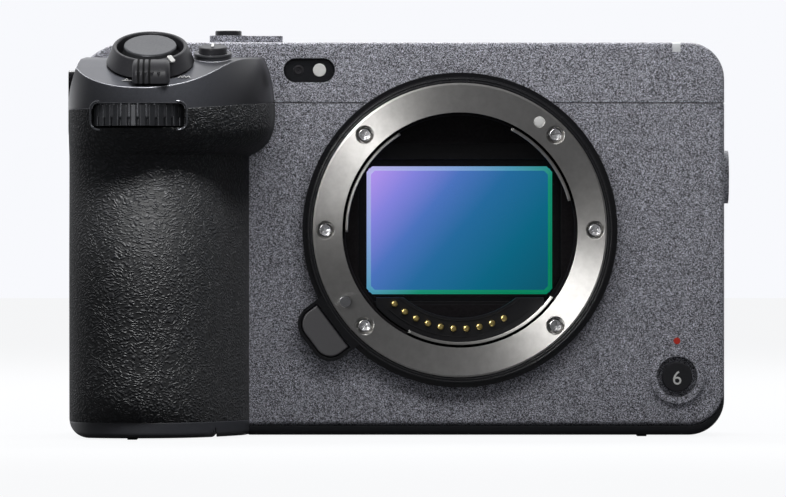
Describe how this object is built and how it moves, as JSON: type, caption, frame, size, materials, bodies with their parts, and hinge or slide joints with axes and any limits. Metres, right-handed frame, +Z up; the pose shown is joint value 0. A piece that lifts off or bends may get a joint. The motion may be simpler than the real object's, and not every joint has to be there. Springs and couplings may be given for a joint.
{
  "type": "cinema camera body",
  "caption": "Compact cinema camera body with a bayonet lens mount, hand grip, swing-out screen, accessory sockets and a jointed set of buttons, dials and doors.",
  "frame": {"origin": "centre of the lens mount's flange face", "axes": "-Y towards the lens, +X to the right for someone who faces the lens, +Z up"},
  "size_m": [0.1297, 0.0856, 0.0798],
  "materials": {
    "casing": "fine speckled matte",
    "grip_core": "moulded, matte",
    "grip_top": "satin",
    "grip_leather": "leather grain",
    "mount_steel": "satin turned",
    "plated_steel": "bright",
    "ring_black": "satin",
    "control_black": "satin",
    "control_metal": "satin anodised",
    "throat_black": "flocked matte",
    "contact_gold": "gold plated",
    "chassis_metal": "cast",
    "shutter_black": "matte",
    "sensor": "iridescent",
    "sensor_cover": "coated",
    "board_green": "solder mask",
    "cell_case": "fine texture",
    "door_black": "fine texture",
    "socket_steel": "plated",
    "screen_pane": "polished",
    "lamp_pale": "milky, lights up red",
    "window_grey": "smoked"
  },
  "bodies": {
    "body": {"front_cover": "casing", "top_cover": "casing", "rear_cover": "casing", "base_cover": "casing", "grip_frame": "grip_core", "grip_base": "grip_core", "card_cage": "grip_core", "grip_shoulder": "grip_top", "grip_skin": "grip_leather", "mount_ring": "mount_steel", "mount_screws": "plated_steel", "screw_sockets": "plated_steel", "trim_ring": "ring_black", "strap_lugs": "ring_black", "accessory_shoe": "ring_black", "light_baffle": "throat_black", "contact_block": "throat_black", "cooling_duct": "throat_black", "contact_pins": "contact_gold", "chassis": "chassis_metal", "shutter_frame": "shutter_black", "main_board": "board_green", "battery": "cell_case", "port_sockets": "socket_steel", "tally_lamp": "lamp_pale", "sensor_window": "window_grey"},
    "shutter_button": {"shutter_button": "control_metal"},
    "zoom_lever": {"zoom_lever": "control_black"},
    "front_dial": {"front_dial": "control_metal"},
    "custom_button": {"custom_button": "control_black"},
    "power_lever": {"power_lever": "control_black"},
    "top_record_button": {"top_record_button": "control_black"},
    "rear_dial": {"rear_dial": "control_metal"},
    "front_record_button": {"front_record_button": "control_black"},
    "lens_release": {"lens_release": "control_black"},
    "lock_pin": {"lock_pin": "plated_steel"},
    "front_curtain_lead": {"front_curtain_lead": "shutter_black"},
    "front_curtain_follow": {"front_curtain_follow": "shutter_black"},
    "rear_curtain_lead": {"rear_curtain_lead": "shutter_black"},
    "rear_curtain_follow": {"rear_curtain_follow": "shutter_black"},
    "sensor_stage": {"sensor_stage": "chassis_metal", "image_sensor": "sensor", "sensor_glass": "sensor_cover"},
    "fan_rotor": {"fan_rotor": "throat_black"},
    "wheel_button": {"wheel_button": "control_black"},
    "control_wheel": {"control_wheel": "control_black"},
    "menu_button": {"menu_button": "control_black"},
    "function_button": {"function_button": "control_black"},
    "playback_button": {"playback_button": "control_black"},
    "delete_button": {"delete_button": "control_black"},
    "joystick": {"joystick": "control_black"},
    "battery_door": {"battery_door": "door_black"},
    "door_latch": {"door_latch": "door_black"},
    "card_door": {"card_door": "door_black"},
    "audio_cover": {"audio_cover": "door_black"},
    "hdmi_cover": {"hdmi_cover": "door_black"},
    "usb_cover": {"usb_cover": "door_black"},
    "screen": {"screen_hinge": "door_black", "screen_housing": "door_black", "screen_glass": "screen_pane"}
  },
  "joints": [
    {"name": "shutter_button_press", "type": "slide", "parent": "body", "child": "shutter_button", "axis": [0, 0.4226, -0.9063], "range_m": [0, 0.0009], "stiffness_N_per_m": 500, "springref_m": -0.0008},
    {"name": "zoom_lever_rock", "type": "hinge", "parent": "body", "child": "zoom_lever", "pos_m": [-0.0598, -0.0212, 0.0322], "axis": [0, -0.4226, 0.9063], "range_deg": [-18, 18], "stiffness_Nm_per_rad": 0.05},
    {"name": "front_dial_spin", "type": "hinge", "parent": "body", "child": "front_dial", "pos_m": [-0.0619, -0.0208, 0.0199], "axis": [0, 0, 1], "continuous": true},
    {"name": "custom_button_press", "type": "slide", "parent": "body", "child": "custom_button", "axis": [0, 0.2079, -0.9781], "range_m": [0, 0.0005], "stiffness_N_per_m": 500, "springref_m": -0.0005},
    {"name": "power_lever_switch", "type": "hinge", "parent": "body", "child": "power_lever", "pos_m": [-0.0456, 0.0175, 0.0368], "axis": [0, 0, 1], "range_deg": [0, 35]},
    {"name": "top_record_button_press", "type": "slide", "parent": "body", "child": "top_record_button", "axis": [0, 0, -1], "range_m": [0, 0.0006], "stiffness_N_per_m": 500, "springref_m": -0.0005},
    {"name": "rear_dial_spin", "type": "hinge", "parent": "body", "child": "rear_dial", "pos_m": [-0.06, 0.0332, 0.0274], "axis": [0, 0, 1], "continuous": true},
    {"name": "front_record_button_press", "type": "slide", "parent": "body", "child": "front_record_button", "axis": [0, 1, 0], "range_m": [0, 0.0005], "stiffness_N_per_m": 500, "springref_m": -0.0005},
    {"name": "lens_release_press", "type": "slide", "parent": "body", "child": "lens_release", "axis": [0, 1, 0], "range_m": [0, 0.0012], "stiffness_N_per_m": 600, "springref_m": -0.0008},
    {"name": "lock_pin_retract", "type": "slide", "parent": "body", "child": "lock_pin", "axis": [0, 1, 0], "range_m": [0, 0.0012]},
    {"name": "front_curtain_lead_run", "type": "slide", "parent": "body", "child": "front_curtain_lead", "axis": [0, 0, 1], "range_m": [0, 0.0272]},
    {"name": "front_curtain_follow_run", "type": "slide", "parent": "body", "child": "front_curtain_follow", "axis": [0, 0, 1], "range_m": [0, 0.0136]},
    {"name": "rear_curtain_lead_run", "type": "slide", "parent": "body", "child": "rear_curtain_lead", "axis": [0, 0, -1], "range_m": [0, 0.0272]},
    {"name": "rear_curtain_follow_run", "type": "slide", "parent": "body", "child": "rear_curtain_follow", "axis": [0, 0, -1], "range_m": [0, 0.0136]},
    {"name": "sensor_stage_shift", "type": "slide", "parent": "body", "child": "sensor_stage", "axis": [1, 0, 0], "range_m": [-0.0015, 0.0015], "stiffness_N_per_m": 400},
    {"name": "fan_rotor_spin", "type": "hinge", "parent": "body", "child": "fan_rotor", "pos_m": [0.0292, 0.0284, -0.01], "axis": [0, 1, 0], "continuous": true},
    {"name": "wheel_button_press", "type": "slide", "parent": "body", "child": "wheel_button", "axis": [0, -1, 0], "range_m": [0, 0.0005], "stiffness_N_per_m": 500, "springref_m": -0.0005},
    {"name": "control_wheel_spin", "type": "hinge", "parent": "body", "child": "control_wheel", "pos_m": [-0.0565, 0.041, -0.015], "axis": [0, 1, 0], "continuous": true},
    {"name": "menu_button_press", "type": "slide", "parent": "body", "child": "menu_button", "axis": [0, -1, 0], "range_m": [0, 0.0005], "stiffness_N_per_m": 500, "springref_m": -0.0005},
    {"name": "function_button_press", "type": "slide", "parent": "body", "child": "function_button", "axis": [0, -1, 0], "range_m": [0, 0.0005], "stiffness_N_per_m": 500, "springref_m": -0.0005},
    {"name": "playback_button_press", "type": "slide", "parent": "body", "child": "playback_button", "axis": [0, -1, 0], "range_m": [0, 0.0005], "stiffness_N_per_m": 500, "springref_m": -0.0005},
    {"name": "delete_button_press", "type": "slide", "parent": "body", "child": "delete_button", "axis": [0, -1, 0], "range_m": [0, 0.0005], "stiffness_N_per_m": 500, "springref_m": -0.0005},
    {"name": "joystick_tilt", "type": "hinge", "parent": "body", "child": "joystick", "pos_m": [-0.046, 0.04045, 0.014], "axis": [1, 0, 0], "range_deg": [-8, 8], "stiffness_Nm_per_rad": 0.02},
    {"name": "battery_door_open", "type": "hinge", "parent": "body", "child": "battery_door", "pos_m": [-0.0483, 0.00795, -0.0392], "axis": [0, -1, 0], "range_deg": [0, 90]},
    {"name": "door_latch_slide", "type": "slide", "parent": "battery_door", "child": "door_latch", "axis": [1, 0, 0], "range_m": [0, 0.0025]},
    {"name": "card_door_open", "type": "hinge", "parent": "body", "child": "card_door", "pos_m": [-0.0754, 0.0373, -0.007], "axis": [0, 0, -1], "range_deg": [0, 90]},
    {"name": "audio_cover_open", "type": "hinge", "parent": "body", "child": "audio_cover", "pos_m": [0.051, 0.0118, -0.0019], "axis": [0, 0, -1], "range_deg": [0, 90]},
    {"name": "hdmi_cover_open", "type": "hinge", "parent": "body", "child": "hdmi_cover", "pos_m": [0.051, 0.0118, -0.01435], "axis": [0, 0, -1], "range_deg": [0, 90]},
    {"name": "usb_cover_open", "type": "hinge", "parent": "body", "child": "usb_cover", "pos_m": [0.051, 0.0118, -0.02645], "axis": [0, 0, -1], "range_deg": [0, 90]},
    {"name": "screen_swing", "type": "hinge", "parent": "body", "child": "screen", "pos_m": [0.0489, 0.0431, -0.00275], "axis": [0, 0, -1], "range_deg": [0, 176]}
  ],
  "couplings": [
    {"joint": "lock_pin_retract", "follows": "lens_release_press", "ratio": 1},
    {"joint": "front_curtain_follow_run", "follows": "front_curtain_lead_run", "ratio": 0.5},
    {"joint": "rear_curtain_follow_run", "follows": "rear_curtain_lead_run", "ratio": 0.5}
  ]
}
